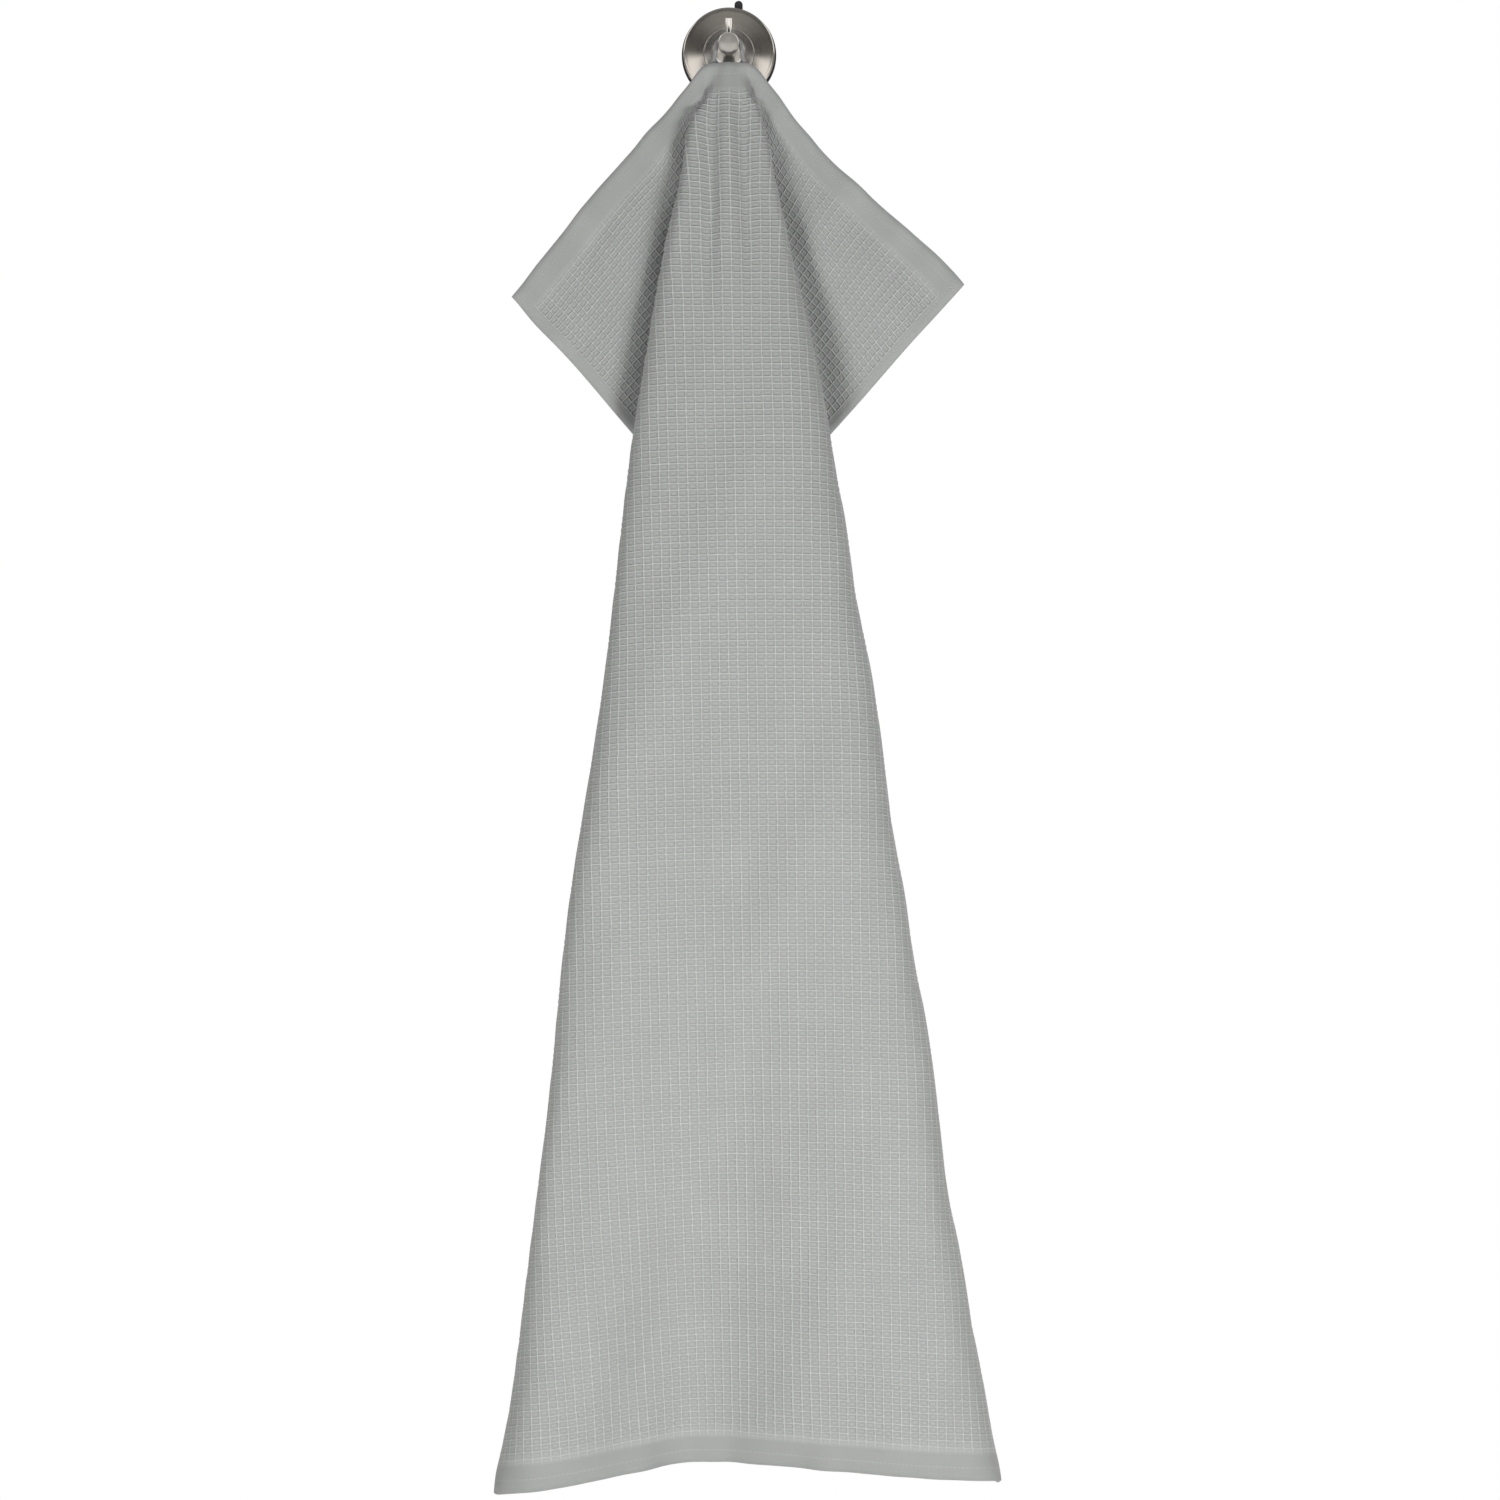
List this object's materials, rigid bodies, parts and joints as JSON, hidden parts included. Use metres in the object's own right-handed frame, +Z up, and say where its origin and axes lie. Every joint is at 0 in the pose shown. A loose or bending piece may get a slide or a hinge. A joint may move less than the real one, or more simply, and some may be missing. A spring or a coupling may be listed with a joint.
{
  "type": "hand towel on a hook",
  "caption": "Waffle-weave hand towel hung by its loop from the peg of a round steel suction-cup hook, in long folds that widen to the hem.",
  "frame": {"origin": "centre of the suction cup's back face, where it sits on the wall", "axes": "+Y into the wall, against the way the peg points; +Z up, along the towel's length; +X to the viewer's right"},
  "size_m": [0.3585, 0.0732, 1.0702],
  "materials": {
    "towel": "soft grey cotton waffle weave with plain-woven hems",
    "loop_tape": "grey woven tape",
    "cup_rubber": "smooth black rubber",
    "cap_steel": "concentrically brushed stainless steel",
    "neck_steel": "turned stainless steel",
    "head_steel": "turned stainless steel with a fine-brushed face",
    "pin_steel": "polished stainless steel"
  },
  "bodies": {
    "root": {"towel": "towel", "hanging_loop": "loop_tape", "suction_cup": "cup_rubber", "cup_cap": "cap_steel", "peg_neck": "neck_steel", "peg_head": "head_steel", "retaining_pin": "pin_steel"}
  },
  "joints": []
}
